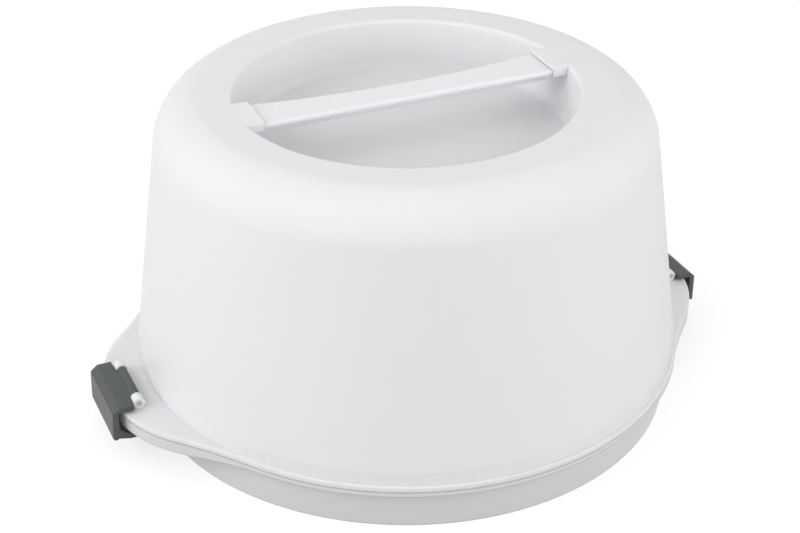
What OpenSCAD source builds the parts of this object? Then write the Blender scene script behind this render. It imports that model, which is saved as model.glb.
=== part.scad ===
// Round cake carrier: a base tray, a lift-off dome cover with a carrying bar
// across the recess in its top, and two side clips that swing on pins and hook
// under the ears of the tray. Millimetres, +Z up, origin at the centre of the
// tray's foot. X runs through both clips and along the carrying bar.

/* [Tray] */
// Radius of the rim flange on which the cover stands
rim_r = 155; // [150:0.5:162]
// Height of the top of the rim flange above the ground
rim_z = 25.1; // [23:0.1:32]
// Thickness of the rim flange
rim_t = 2.7; // [1.6:0.1:3.4]
// How far the rim flange stands out past the foot ring
foot_inset = 5.9; // [5:0.1:9]
// How far the skirt leans out from the foot to the rim
skirt_lean = 1.9; // [0.5:0.1:3]
// Wall thickness of the tray
tray_t = 2; // [1.5:0.1:2.6]
// Gap between the locating collar and the inside of the cover
collar_play = 2.9; // [1:0.1:3.4]
// Height of the locating collar above the rim flange
collar_h = 6.4; // [4:0.1:9]
// How far the tray's inner wall leans in from the collar to the floor
bowl_lean = 3; // [1.5:0.1:5]
// Height of the underside of the outer floor above the ground
floor_gap = 10; // [6:0.1:12]
// Width of the outer floor around the raised cake plate
moat_w = 12.9; // [8:0.1:30]
// Rise of the cake plate above the outer floor
plate_rise = 2; // [1:0.1:4]
// Width of the slope up to the cake plate
plate_step = 2.5; // [2:0.1:5]

/* [Ears] */
// How far the tip of an ear stands out past the rim circle
ear_reach = 21.8; // [19:0.1:29]
// Straight length at the tip of an ear
ear_flat = 6; // [4:0.1:32]
// Radius of the rounded corners of an ear
ear_corner_r = 73; // [60:0.5:80]
// Radius of the hollow where an ear runs into the rim
ear_root_r = 300; // [200:5:600]
// Depth of the lip turned down from the rim around an ear
lip_drop = 6.3; // [5:0.1:9]
// Thickness of the turned-down lip
lip_t = 2.2; // [1.5:0.1:2.8]
// Half width of the stretch on which the lip keeps its full depth
lip_full_y = 59; // [40:1:62]
// Half width at which the lip has faded into the rim
lip_end_y = 88; // [70:1:96]

/* [Cover] */
// Height of the cover from its flange to its top
cover_h = 153.1; // [120:0.5:200]
// Wall thickness of the cover
cover_t = 1.6; // [1.2:0.1:2.2]
// Thickness of the cover's flange and ear plates
flange_t = 3.4; // [2.4:0.1:4]
// Width of the flange outside the wall
flange_w = 1.7; // [1.2:0.1:4]
// Height of the upright band at the foot of the wall
wall_band_h = 10.9; // [6:0.1:16]
// How far the wall leans in from its foot to the shoulder
wall_lean = 16.5; // [8:0.1:24]
// Width of the rounded shoulder, seen from the side
shoulder_w = 25.4; // [18:0.1:32]
// Height of the rounded shoulder
shoulder_h = 24.3; // [18:0.1:34]
// Width of the flat top between the shoulder and the hand recess
land_w = 17.9; // [10:0.1:26]
// Depth of the hand recess
recess_h = 27.5; // [24:0.5:34]
// How far the wall of the recess leans in from rim to floor
recess_lean = 3; // [1:0.1:5]
// Radius of the rounded corner around the recess floor
recess_corner_r = 5; // [2.5:0.1:7]
// Radius of the rounded rim of the recess
recess_edge_r = 2.3; // [2.3:0.1:4]

/* [Carrying bar] */
// How far the sockets of the bar stand out from the rim of the recess
socket_depth = 9.5; // [7:0.1:13]
// Width of the bar at its middle
bar_w = 19; // [16:0.1:24]
// How far the back edge of the bar widens towards its ends
bar_flare = 7; // [4:0.1:9]
// Thickness of the bar's plate
bar_t = 3.4; // [2.8:0.1:5]
// How far the bar lies below the top of the cover
bar_drop = 1.4; // [0.4:0.1:2]
// Thickness of the stiffening rib under the bar
rib_t = 2.4; // [1.6:0.1:3.4]
// Depth of the stiffening rib
rib_h = 5.5; // [3:0.1:8]
// Length of the tongue that each end of the bar has in its socket
tongue_len = 4.2; // [3:0.1:5]
// Thickness of the tongues
tongue_t = 1.6; // [1.2:0.1:2]
// Wall of the sockets beside and below a tongue
socket_t = 1.6; // [1.2:0.1:2]
// Play between a tongue and its socket on each side
tongue_play = 0.05; // [0.02:0.01:0.1]

/* [Hinges] */
// Distance from the tip of an ear back to the axis of its hinge pin
pin_inset = 11.4; // [9:0.1:13]
// Height of the pin's axis above the ear plate
pin_rise = 3; // [3:0.1:4.5]
// Radius of the hinge pins
pin_r = 1.4; // [1.1:0.05:1.5]
// Radius of the knuckles on the cover
knuckle_r = 3.3; // [2.9:0.05:3.8]
// Length of one knuckle along the pin
knuckle_len = 6.2; // [5:0.1:8]
// Length of the clip's barrel between the knuckles
barrel_len = 28; // [22:0.1:30]
// Gap between the clip's barrel and the ear plate
barrel_gap = 0.3; // [0.2:0.05:0.5]
// Gap between the barrel and a knuckle
side_gap = 0.4; // [0.3:0.1:0.8]
// Radial clearance of the barrel on its pin
pin_play = 0.06; // [0.03:0.01:0.1]

/* [Clips] */
// How far a clip runs past the knuckles at each end
clip_overrun = 2.6; // [0.8:0.05:4]
// Thickness of the clip's top plate
clip_top_t = 3; // [2.4:0.1:3.4]
// How far the top plate rises above the pin's axis
clip_top_rise = 1.3; // [0.8:0.1:2]
// Thickness of the clip's outer wall
clip_wall_t = 3.2; // [2.4:0.1:3.8]
// Gap between the tip of an ear and the clip's wall
clip_gap = 1; // [0.8:0.1:1.8]
// Width of the bevel along the clip's upper outer edge
bevel_w = 4.1; // [3:0.1:5.5]
// Height of the bevel along the clip's upper outer edge
bevel_h = 3.3; // [2.4:0.1:5]
// How far the clip's wall leans out towards its toe
wall_splay = 0.9; // [0:0.1:1.5]
// Width of the clip's toe
toe_w = 3.4; // [2.6:0.1:4]
// How far the clip's toe hangs below the root of its hook
toe_depth = 1.5; // [0.4:0.1:2]
// Clearance between the swinging hook and the lip
hook_gap = 0.3; // [0.2:0.05:0.5]
// Thickness of the hook at its tip
hook_tip_t = 2; // [1.4:0.1:2.6]
// How far the hook reaches in beyond the tip of the ear
hook_reach = 8.4; // [7:0.1:11]

/* [Hidden] */

// Facets of the large and the small circles
$fn = 48;
big_fn = 240;
// Points along the curves that follow a formula
shoulder_steps = 22;
corner_steps = 8;
ear_steps = 12;
rim_steps = 30;
// Overlap by which united solids and cuts run past each other
eps = 0.5;

// Colours of the pieces
tray_colour = [0.93, 0.93, 0.94];
cover_colour = [0.90, 0.91, 0.93, 0.75];
pin_colour = [0.72, 0.72, 0.72];
clip_colour = [0.31, 0.33, 0.33];

// Heights of the tray
rim_under_z = rim_z - rim_t;
collar_z = rim_z + collar_h;
floor_z = floor_gap + tray_t;
plate_z = floor_z + plate_rise;
lip_z = rim_z - lip_drop;

// Radii of the tray, from the cover's wall inwards
foot_r = rim_r - foot_inset;
skirt_r = foot_r + skirt_lean;
wall_foot_r = rim_r - flange_w;
collar_r = wall_foot_r - cover_t - collar_play;
bowl_r = collar_r - tray_t;
bowl_floor_r = bowl_r - bowl_lean;
plate_r = bowl_floor_r - moat_w - plate_step;

// Heights of the cover
flange_z = rim_z + flange_t;
cover_z = rim_z + cover_h;
band_z = rim_z + wall_band_h;
shoulder_z = cover_z - shoulder_h;
recess_z = cover_z - recess_h;

// Radii of the cover, from the wall inwards
wall_top_r = wall_foot_r - wall_lean;
recess_r = wall_top_r - shoulder_w - land_w;
recess_floor_r = recess_r - recess_lean;

// Carrying bar, its sockets and their pockets
bar_z = cover_z - bar_drop;
bar_under_z = bar_z - bar_t;
bar_half = recess_r - socket_depth;
bar_edge_flat = 0.4;
bar_edge_r = (bar_t - bar_edge_flat) / 2;
bar_back_r = (bar_half ^ 2 + bar_flare ^ 2) / (2 * bar_flare);
socket_margin = 0.6;
socket_w = bar_w + bar_flare + 2 * socket_margin;
tongue_w = bar_w - 2 * socket_t;
tongue_z = bar_under_z + (bar_t - tongue_t) / 2;
socket_z = tongue_z - tongue_play - socket_t;

// Hinges and clips
ear_x = rim_r + ear_reach;
pin_x = ear_x - pin_inset;
pin_z = flange_z + pin_rise;
barrel_r = pin_rise - barrel_gap;
knuckle_y = barrel_len / 2 + side_gap;
pin_half = knuckle_y + knuckle_len;
knuckle_leg_w = 1.4 * knuckle_r;
clip_len = 2 * (pin_half + clip_overrun);
clip_top_z = pin_z + clip_top_rise;
clip_under_z = clip_top_z - clip_top_t;
clip_in_x = ear_x + clip_gap;
clip_out_x = clip_in_x + clip_wall_t;
clip_toe_x = clip_out_x + wall_splay;
clip_inner_edge_x = pin_x + knuckle_r + side_gap;
clip_end_r = 2.4;
bevel_edge_r = 1.2;
toe_r = 1.2;

// Radius around the pin on which the hook passes the lip's lower corner, and
// the heights of the hook's tip, its root and the toe
hook_r = norm([pin_inset, pin_z - lip_z]) + hook_gap;
hook_x = ear_x - hook_reach;
hook_flat_w = 4;
hook_z = pin_z - sqrt(hook_r ^ 2 - (hook_x - pin_x) ^ 2) - hook_tip_t;
hook_root_rise = 1.4;
hook_root_z = hook_z + hook_root_rise;
toe_z = hook_root_z - toe_depth;

// Tangent arcs of the ear's outline: centre of the rounded corner and centre
// of the hollow that touches both that corner and the rim circle
ear_corner = [ear_x - ear_corner_r, ear_flat / 2];
ear_root_far = rim_r + ear_root_r;
ear_root_near = ear_corner_r + ear_root_r;
ear_along = (ear_root_far ^ 2 - ear_root_near ^ 2 + norm(ear_corner) ^ 2) / (2 * norm(ear_corner));
ear_across = sqrt(ear_root_far ^ 2 - ear_along ^ 2);
ear_dir = ear_corner / norm(ear_corner);
ear_root = ear_along * ear_dir + ear_across * [-ear_dir.y, ear_dir.x];
ear_turn = atan2(ear_root.y - ear_corner.y, ear_root.x - ear_corner.x);
ear_end = atan2(ear_root.y, ear_root.x);

// Points on an arc around c from angle a0 to a1
function arc(c, r, a0, a1, steps) =
    [for (i = [0 : steps]) let (a = a0 + (a1 - a0) * i / steps) c + r * [cos(a), sin(a)]];

// Unit direction of a path at point i, from its neighbours
function heading(p, i) =
    let (d = p[min(i + 1, len(p) - 1)] - p[max(i - 1, 0)]) d / norm(d);

// Path moved to its left by t, for a wall of even thickness
function beside(p, t) =
    [for (i = [0 : len(p) - 1]) let (h = heading(p, i)) p[i] + t * [-h.y, h.x]];

// Corner q of a path from p to s, rounded with radius r
function rounded(p, q, s, r) =
    let (u = (p - q) / norm(p - q), v = (s - q) / norm(s - q), half = acos(u * v) / 2,
        c = q + r / sin(half) * (u + v) / norm(u + v),
        from = q + r / tan(half) * u - c, to = q + r / tan(half) * v - c,
        a = atan2(from.y, from.x), turn = (atan2(to.y, to.x) - a + 540) % 360 - 180)
    arc(c, r, a, a + turn, corner_steps);

function backwards(p) = [for (i = [len(p) - 1 : -1 : 0]) p[i]];

function after_first(p) = [for (i = [1 : len(p) - 1]) p[i]];

// Shoulder from the wall to the flat top: a quarter of an ellipse, sheared
// so that it carries on the slant of the wall
wall_slant = (wall_foot_r - wall_top_r) / (shoulder_z - band_z);
function shoulder() =
    [for (i = [0 : shoulder_steps]) let (a = 90 * i / shoulder_steps, h = shoulder_h * sin(a))
        [wall_top_r - wall_slant * h - (shoulder_w - wall_slant * shoulder_h) * (1 - cos(a)), shoulder_z + h]];

// Section of the cover's wall, from the flange over the top to the axis
recess_slant = atan2(recess_lean, recess_h);
cover_path = concat(
    [[wall_foot_r, rim_z], [wall_foot_r, band_z]],
    shoulder(),
    arc([recess_r + recess_edge_r, cover_z - recess_edge_r], recess_edge_r, 90, 180 - recess_slant, corner_steps),
    arc([recess_floor_r - recess_corner_r, recess_z + recess_corner_r], recess_corner_r,
        -recess_slant, -90, corner_steps),
    [[0, recess_z]]);

// A quarter of the outline of the rim and an ear, drawn in by d: the corner,
// the hollow and the rim circle up to the Y axis
function quarter_outline(d) = concat(
    arc(ear_corner, ear_corner_r - d, 0, ear_turn, ear_steps),
    after_first(arc(ear_root, ear_root_r + d, ear_turn + 180, ear_end + 180, ear_steps)),
    after_first(arc([0, 0], rim_r - d, ear_end, 90, rim_steps)));

function half_outline(d) =
    let (q = quarter_outline(d)) concat(q, [for (p = after_first(backwards(q))) [-p.x, p.y]]);

module ear_outline(d = 0) {
    half = half_outline(d);
    polygon(concat(half, [for (p = backwards(half)) [p.x, -p.y]]));
}

// Turned-down lip around both ears, fading out towards the rim
module ear_lip() {
    difference() {
        translate([0, 0, lip_z]) {
            linear_extrude(rim_under_z - lip_z + eps) {
                difference() {
                    ear_outline();
                    ear_outline(lip_t);
                }
            }
        }
        for (half = [0, 1]) {
            mirror([0, half, 0]) {
                rotate([90, 0, 90]) {
                    linear_extrude(2 * ear_x + 2, center = true) {
                        polygon([[lip_full_y, lip_z - 1], [lip_full_y, lip_z],
                            [lip_end_y, rim_under_z], [rim_r + 1, rim_under_z], [rim_r + 1, lip_z - 1]]);
                    }
                }
            }
        }
    }
}

module base_tray() {
    color(tray_colour) {
        rotate_extrude($fn = big_fn) {
            polygon([
                [foot_r, 0],
                [skirt_r, rim_under_z],
                [skirt_r, rim_z],
                [collar_r, rim_z],
                [collar_r, collar_z],
                [bowl_r, collar_z],
                [bowl_floor_r, floor_z],
                [plate_r + plate_step, floor_z],
                [plate_r, plate_z],
                [0, plate_z],
                [0, plate_z - tray_t],
                [plate_r - tray_t / 2, plate_z - tray_t],
                [plate_r + plate_step - tray_t / 2, floor_gap],
                [bowl_floor_r + tray_t, floor_gap],
                [bowl_r + tray_t - bowl_lean * (collar_z - rim_under_z) / (collar_z - floor_z), rim_under_z],
                [skirt_r - tray_t, rim_under_z],
                [foot_r - tray_t, 0]]);
        }
        difference() {
            translate([0, 0, rim_under_z]) {
                linear_extrude(rim_t) ear_outline();
            }
            translate([0, 0, rim_under_z - 1]) {
                cylinder(r = skirt_r - tray_t / 2, h = rim_t + 2, $fn = big_fn);
            }
        }
        ear_lip();
    }
}

// Knuckles and their legs on the right ear, without the bore
module knuckles() {
    for (half = [0, 1]) {
        mirror([0, half, 0]) {
            translate([pin_x, knuckle_y, pin_z]) {
                rotate([-90, 0, 0]) cylinder(r = knuckle_r, h = knuckle_len);
            }
            translate([pin_x - knuckle_leg_w / 2, knuckle_y, flange_z - eps]) {
                cube([knuckle_leg_w, knuckle_len, pin_z - flange_z + eps]);
            }
        }
    }
}

// Blocks in the recess that hold the ends of the bar
module sockets() {
    intersection() {
        for (side = [0, 1]) {
            mirror([side, 0, 0]) {
                difference() {
                    translate([bar_half, -bar_w / 2 - socket_margin, socket_z]) {
                        cube([recess_r + recess_edge_r - bar_half, socket_w, cover_z - socket_z]);
                    }
                    translate([bar_half - 1, -tongue_w / 2 - tongue_play, tongue_z - tongue_play]) {
                        cube([tongue_len + tongue_play + 1, tongue_w + 2 * tongue_play, tongue_t + 2 * tongue_play]);
                    }
                }
            }
        }
        // Into the wall of the recess, but not through it
        union() {
            translate([0, 0, recess_z]) {
                cylinder(r1 = recess_floor_r + cover_t / 2, r2 = recess_r + cover_t / 2, h = recess_h, $fn = big_fn);
            }
            translate([0, 0, cover_z - cover_t / 2]) {
                cylinder(r = recess_r + recess_edge_r, h = cover_t / 2, $fn = big_fn);
            }
        }
    }
}

module dome_cover() {
    color(cover_colour) {
        difference() {
            union() {
                rotate_extrude($fn = big_fn) {
                    polygon(concat(cover_path, backwards(beside(cover_path, cover_t))));
                }
                difference() {
                    translate([0, 0, rim_z]) {
                        linear_extrude(flange_t) ear_outline();
                    }
                    translate([0, 0, rim_z - 1]) {
                        cylinder(r = wall_foot_r - cover_t / 2, h = flange_t + 2, $fn = big_fn);
                    }
                }
                for (side = [0, 1]) {
                    mirror([side, 0, 0]) knuckles();
                }
                sockets();
            }
            for (side = [-1, 1]) {
                translate([side * pin_x, 0, pin_z]) {
                    rotate([90, 0, 0]) cylinder(r = pin_r, h = 2 * pin_half + 2, center = true);
                }
            }
        }
    }
}

// Section of the bar's plate, with a rounded front edge
bar_back_y = bar_w / 2 + bar_flare + eps;
bar_section = concat(
    [[bar_back_y, bar_under_z], [bar_back_y, bar_z]],
    arc([bar_edge_r - bar_w / 2, bar_z - bar_edge_r], bar_edge_r, 90, 180, corner_steps),
    arc([bar_edge_r - bar_w / 2, bar_under_z + bar_edge_r], bar_edge_r, 180, 270, corner_steps));

// Section of the disc that hollows the bar's back edge and rounds it
bar_back_cut = concat(
    [[0, bar_under_z - 1], [0, bar_z + 1], [bar_back_r + bar_edge_r, bar_z + 1]],
    arc([bar_back_r + bar_edge_r, bar_z - bar_edge_r], bar_edge_r, 90, 180, corner_steps),
    arc([bar_back_r + bar_edge_r, bar_under_z + bar_edge_r], bar_edge_r, 180, 270, corner_steps),
    [[bar_back_r + bar_edge_r, bar_under_z - 1]]);

module carry_bar() {
    color(cover_colour) {
        difference() {
            rotate([90, 0, 90]) {
                linear_extrude(2 * bar_half, center = true) polygon(bar_section);
            }
            translate([0, bar_w / 2 + bar_back_r, 0]) {
                rotate_extrude($fn = big_fn) polygon(bar_back_cut);
            }
        }
        translate([-bar_half, -rib_t / 2, bar_under_z - rib_h]) {
            cube([2 * bar_half, rib_t, rib_h + eps]);
        }
        for (side = [0, 1]) {
            mirror([side, 0, 0]) {
                translate([bar_half - tongue_len, -tongue_w / 2, tongue_z]) {
                    cube([2 * tongue_len, tongue_w, tongue_t]);
                }
            }
        }
    }
}

module hinge_pin(side) {
    color(pin_colour) {
        translate([side * pin_x, 0, pin_z]) {
            rotate([90, 0, 0]) cylinder(r = pin_r, h = 2 * pin_half, center = true);
        }
    }
}

module left_hinge_pin() {
    hinge_pin(-1);
}

module right_hinge_pin() {
    hinge_pin(1);
}

// Section of a clip: top plate, bevel, outer wall, toe and hook
bevel_top = [clip_out_x - bevel_w, clip_top_z];
bevel_foot = [clip_out_x, clip_top_z - bevel_h];
toe_out = [clip_toe_x, toe_z];
toe_in = [clip_toe_x - toe_w, hook_root_z];
clip_section = concat(
    [[clip_inner_edge_x, clip_under_z],
        [clip_inner_edge_x, clip_top_z]],
    rounded([clip_inner_edge_x, clip_top_z], bevel_top, bevel_foot, bevel_edge_r),
    rounded(bevel_top, bevel_foot, toe_out, bevel_edge_r),
    rounded(bevel_foot, toe_out, toe_in, toe_r),
    [toe_in,
        [hook_x + hook_flat_w, hook_z],
        [hook_x, hook_z]],
    arc([pin_x, pin_z], hook_r, -acos((hook_x - pin_x) / hook_r), -acos((clip_in_x - pin_x) / hook_r), corner_steps),
    [[clip_in_x, clip_top_z - bevel_h],
        [clip_in_x - bevel_w + clip_wall_t, clip_under_z]]);

// Right clip, closed
module clip() {
    color(clip_colour) {
        difference() {
            union() {
                rotate([90, 0, 0]) {
                    linear_extrude(clip_len, center = true) polygon(clip_section);
                }
                translate([pin_x, 0, pin_z]) {
                    rotate([90, 0, 0]) cylinder(r = barrel_r, h = barrel_len, center = true);
                }
                translate([pin_x, -barrel_len / 2, clip_under_z]) {
                    cube([clip_inner_edge_x - pin_x + eps, barrel_len, clip_top_t]);
                }
            }
            translate([pin_x, 0, pin_z]) {
                rotate([90, 0, 0]) cylinder(r = pin_r + pin_play, h = barrel_len + 2, center = true);
            }
            // Rounded corners at both ends of the outer wall
            for (half = [0, 1]) {
                mirror([0, half, 0]) {
                    translate([0, 0, toe_z - 1]) {
                        linear_extrude(clip_top_z - toe_z + 2) {
                            polygon(concat(
                                [[clip_toe_x - clip_end_r, clip_len / 2 + 1]],
                                arc([clip_toe_x - clip_end_r, clip_len / 2 - clip_end_r], clip_end_r, 90, 0, corner_steps),
                                [[clip_toe_x + 1, clip_len / 2 - clip_end_r],
                                    [clip_toe_x + 1, clip_len / 2 + 1]]));
                        }
                    }
                }
            }
        }
    }
}

module left_clip() {
    mirror([1, 0, 0]) clip();
}

module right_clip() {
    clip();
}

base_tray();
dome_cover();
carry_bar();
left_hinge_pin();
right_hinge_pin();
left_clip();
right_clip();
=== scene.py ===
import math

import bpy
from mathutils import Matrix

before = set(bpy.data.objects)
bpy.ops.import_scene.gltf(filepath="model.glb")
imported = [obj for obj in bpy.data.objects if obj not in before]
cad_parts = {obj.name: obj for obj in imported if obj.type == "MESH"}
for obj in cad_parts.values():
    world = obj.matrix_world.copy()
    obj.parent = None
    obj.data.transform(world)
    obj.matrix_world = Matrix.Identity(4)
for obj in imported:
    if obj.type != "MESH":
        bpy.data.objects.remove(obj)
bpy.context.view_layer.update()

# The photograph's camera, fitted to the outlines in it. Lengths are in metres.
LENS_MM = 76.93
SENSOR_MM = 36
CAMERA_DISTANCE = 0.8389
CAMERA_HEIGHT = 0.5599
CAMERA_AZIMUTH = math.radians(-23.75)
CAMERA_PITCH = math.radians(30.46)
CAMERA_REACH = 20
# The object stands this far right of the middle of the picture
OBJECT_OFFSET_PX = 6.13
PICTURE_WIDTH_PX = 800

# Faces that meet at less than this angle are shaded as one smooth surface
SMOOTH_ANGLE = math.radians(28)

# A noise pattern hardly leaves this range of values
NOISE_LOW = 0.1
NOISE_HIGH = 0.9
# Octaves in the broad patterns of tone and gloss, and in the grain
BROAD_DETAIL = 2.0
GRAIN_DETAIL = 4.0
# Rays by which a surface finds the edges near it
EDGE_SAMPLES = 4

# The moulded plastics. A colour is linear and drifts by a share of itself, and a scale is in
# waves a metre. The height of the grain and the radius at which edges look rounded are in
# metres. The cover lets a sixth of what is behind it through, and light runs 2 mm in it.
PLASTICS = {
    "tray_white_plastic": {
        "tint": {"colour": (0.61, 0.61, 0.62), "drift": 0.012, "scale": 22},
        "gloss": {"low": 0.34, "high": 0.42, "scale": 60},
        "grain": {"scale": 1400, "height": 0.0001, "strength": 0.10, "edge_radius": 0.0012},
    },
    "cover_milky_plastic": {
        "tint": {"colour": (0.85, 0.855, 0.87), "drift": 0.006, "scale": 9},
        "gloss": {"low": 0.37, "high": 0.43, "scale": 30},
        "grain": {"scale": 900, "height": 0.0001, "strength": 0.08, "edge_radius": 0.0010},
        "sockets": {
            "Alpha": 0.84,
            "Subsurface Weight": 1.0,
            "Subsurface Radius": (1.0, 1.0, 1.0),
            "Subsurface Scale": 0.002,
        },
    },
    "clip_dark_plastic": {
        "tint": {"colour": (0.082, 0.089, 0.087), "drift": 0.06, "scale": 120},
        "gloss": {"low": 0.40, "high": 0.52, "scale": 200},
        "grain": {"scale": 2600, "height": 0.0002, "strength": 0.20, "edge_radius": 0.0004},
        "sockets": {"Specular IOR Level": 0.25},
    },
    "pin_grey_plastic": {
        "tint": {"colour": (0.42, 0.42, 0.42), "drift": 0.05, "scale": 400},
        "gloss": {"low": 0.35, "high": 0.45, "scale": 500},
    },
}

# The CAD nodes that each plastic is for
PLASTIC_NODES = {
    "tray_white_plastic": ("base_tray",),
    "cover_milky_plastic": ("dome_cover", "carry_bar"),
    "clip_dark_plastic": ("left_clip", "right_clip"),
    "pin_grey_plastic": ("left_hinge_pin", "right_hinge_pin"),
}

WHITE = (1, 1, 1, 1)

# The floor reaches this far to each side. It has a tone of its own, and on top of that a
# white glow that lights nothing: only the rays that see the floor find it.
FLOOR_REACH = 6.0
FLOOR_TONE = (0.4, 0.4, 0.4, 1)
FLOOR_GLOW = 0.66

# The strength of the even light from all around, and of the background that is seen
SKY_LIGHT = 0.68
SKY_SEEN = 1.0

# The softboxes stand around a point near the middle of the object
AIM_HEIGHT = 0.08
SOFTBOX_DISTANCE = 1.5
SOFTBOX_WIDTH = 1.1
SOFTBOX_HEIGHT = 0.9
# Name, azimuth and elevation in degrees, and watts
SOFTBOXES = (
    ("side_left", -98, 26, 12.0),
    ("side_right", 50, 26, 7.0),
    ("front_fill", -10, 12, 6.4),
)


def new_material(name):
    """A material, its node tree and its Principled shader."""
    material = bpy.data.materials.new(name)
    material.use_nodes = True
    tree = material.node_tree
    return material, tree, tree.nodes["Principled BSDF"]


def add_node(tree, kind, **sockets):
    """A node with its input sockets set, named with _ where they have a space."""
    node = tree.nodes.new(kind)
    for name, value in sockets.items():
        node.inputs[name.replace("_", " ")].default_value = value
    return node


def noise(tree, scale, detail=BROAD_DETAIL):
    """A noise pattern that stays with the object, of scale waves a metre."""
    place = tree.nodes.new("ShaderNodeTexCoord")
    pattern = add_node(tree, "ShaderNodeTexNoise", Scale=scale, Detail=detail)
    tree.links.new(place.outputs["Object"], pattern.inputs["Vector"])
    return pattern.outputs["Fac"]


def spread(tree, value, low, high):
    """The value of a noise pattern, spread over the range from low to high."""
    ramp = add_node(
        tree,
        "ShaderNodeMapRange",
        From_Min=NOISE_LOW,
        From_Max=NOISE_HIGH,
        To_Min=low,
        To_Max=high,
    )
    tree.links.new(value, ramp.inputs["Value"])
    return ramp.outputs["Result"]


def add_tint(tree, shader, colour, drift, scale):
    """A base colour that wanders between a darker and a lighter tone of itself."""
    mix = tree.nodes.new("ShaderNodeMix")
    mix.data_type = "RGBA"
    mix.inputs["A"].default_value = (*[c * (1 - drift) for c in colour], 1)
    mix.inputs["B"].default_value = (*[min(1, c * (1 + drift)) for c in colour], 1)
    tree.links.new(spread(tree, noise(tree, scale), 0.0, 1.0), mix.inputs["Factor"])
    tree.links.new(mix.outputs["Result"], shader.inputs["Base Color"])


def add_gloss(tree, shader, low, high, scale):
    """A roughness that wanders from low to high."""
    tree.links.new(spread(tree, noise(tree, scale), low, high), shader.inputs["Roughness"])


def add_grain(tree, shader, scale, height, strength, edge_radius):
    """Edges that look rounded, and the grain of a moulded surface as a bump."""
    edges = add_node(tree, "ShaderNodeBevel", Radius=edge_radius)
    edges.samples = EDGE_SAMPLES
    bump = add_node(tree, "ShaderNodeBump", Strength=strength, Distance=height)
    tree.links.new(edges.outputs["Normal"], bump.inputs["Normal"])
    tree.links.new(noise(tree, scale, GRAIN_DETAIL), bump.inputs["Height"])
    tree.links.new(bump.outputs["Normal"], shader.inputs["Normal"])


def plastic(name, tint, gloss, grain=None, sockets=None):
    """One of the plastics. The sockets are set on the shader as they are."""
    material, tree, shader = new_material(name)
    add_tint(tree, shader, **tint)
    add_gloss(tree, shader, **gloss)
    if grain:
        add_grain(tree, shader, **grain)
    for socket, value in (sockets or {}).items():
        shader.inputs[socket].default_value = value
    return material


def dress(node, material):
    """Gives a CAD node its material, and smooth shading where it is rounded."""
    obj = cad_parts[node]
    obj.data.materials.clear()
    obj.data.materials.append(material)
    selection = {"object": obj, "active_object": obj, "selected_editable_objects": [obj]}
    with bpy.context.temp_override(**selection):
        bpy.ops.object.shade_smooth_by_angle(angle=SMOOTH_ANGLE)


def add_camera():
    """The photograph's camera."""
    data = bpy.data.cameras.new("camera")
    data.lens = LENS_MM
    data.sensor_width = SENSOR_MM
    data.shift_x = -OBJECT_OFFSET_PX / PICTURE_WIDTH_PX
    data.clip_end = CAMERA_REACH
    camera = bpy.data.objects.new("camera", data)
    camera.location = (
        CAMERA_DISTANCE * math.sin(CAMERA_AZIMUTH),
        -CAMERA_DISTANCE * math.cos(CAMERA_AZIMUTH),
        CAMERA_HEIGHT,
    )
    camera.rotation_euler = (math.pi / 2 - CAMERA_PITCH, 0, CAMERA_AZIMUTH)
    bpy.context.scene.collection.objects.link(camera)
    bpy.context.scene.camera = camera


def seeing_ray(tree):
    """1 for a ray that sees: from the camera, mirrored or through something clear."""
    path = tree.nodes.new("ShaderNodeLightPath")
    total = path.outputs["Is Camera Ray"]
    for name in ("Is Glossy Ray", "Is Transmission Ray"):
        either = tree.nodes.new("ShaderNodeMath")
        either.operation = "MAXIMUM"
        tree.links.new(total, either.inputs[0])
        tree.links.new(path.outputs[name], either.inputs[1])
        total = either.outputs["Value"]
    return total


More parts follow.
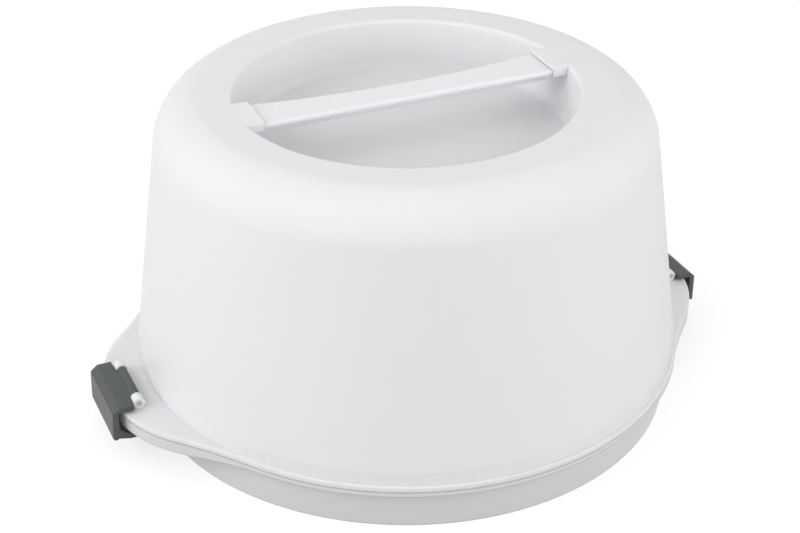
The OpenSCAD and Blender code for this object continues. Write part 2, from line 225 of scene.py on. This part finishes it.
def add_world():
    """Even white light all around, and a white background."""
    world = bpy.data.worlds.new("studio")
    world.use_nodes = True
    bpy.context.scene.world = world
    tree = world.node_tree
    background = tree.nodes["Background"]
    background.inputs["Color"].default_value = WHITE
    strength = add_node(tree, "ShaderNodeMapRange", To_Min=SKY_LIGHT, To_Max=SKY_SEEN)
    tree.links.new(seeing_ray(tree), strength.inputs["Value"])
    tree.links.new(strength.outputs["Result"], background.inputs["Strength"])


def add_floor():
    """A matt white floor, whose glow keeps it white and leaves the object's shadow."""
    mesh = bpy.data.meshes.new("floor")
    sides = ((-1, -1), (1, -1), (1, 1), (-1, 1))
    corners = [(FLOOR_REACH * x, FLOOR_REACH * y, 0) for x, y in sides]
    mesh.from_pydata(corners, [], [(0, 1, 2, 3)])
    floor = bpy.data.objects.new("floor", mesh)
    bpy.context.scene.collection.objects.link(floor)
    material, tree, shader = new_material("floor_white")
    shader.inputs["Base Color"].default_value = FLOOR_TONE
    shader.inputs["Roughness"].default_value = 1.0
    shader.inputs["Specular IOR Level"].default_value = 0.0
    glow = tree.nodes.new("ShaderNodeMath")
    glow.operation = "MULTIPLY"
    glow.inputs[1].default_value = FLOOR_GLOW
    tree.links.new(seeing_ray(tree), glow.inputs[0])
    shader.inputs["Emission Color"].default_value = WHITE
    tree.links.new(glow.outputs["Value"], shader.inputs["Emission Strength"])
    mesh.materials.append(material)


def add_softbox(name, azimuth, elevation, watts):
    """A rectangular lamp that faces the object and isn't mirrored in it."""
    data = bpy.data.lights.new(name, "AREA")
    data.shape = "RECTANGLE"
    data.size = SOFTBOX_WIDTH
    data.size_y = SOFTBOX_HEIGHT
    data.energy = watts
    lamp = bpy.data.objects.new(name, data)
    lamp.visible_glossy = False
    across = math.radians(azimuth)
    up = math.radians(elevation)
    lamp.location = (
        SOFTBOX_DISTANCE * math.sin(across) * math.cos(up),
        -SOFTBOX_DISTANCE * math.cos(across) * math.cos(up),
        AIM_HEIGHT + SOFTBOX_DISTANCE * math.sin(up),
    )
    lamp.rotation_euler = (math.pi / 2 - up, 0, across)
    bpy.context.scene.collection.objects.link(lamp)


bpy.context.scene.view_settings.view_transform = "Standard"
add_camera()
add_world()
add_floor()
for softbox in SOFTBOXES:
    add_softbox(*softbox)

for name, nodes in PLASTIC_NODES.items():
    material = plastic(name, **PLASTICS[name])
    for node in nodes:
        dress(node, material)
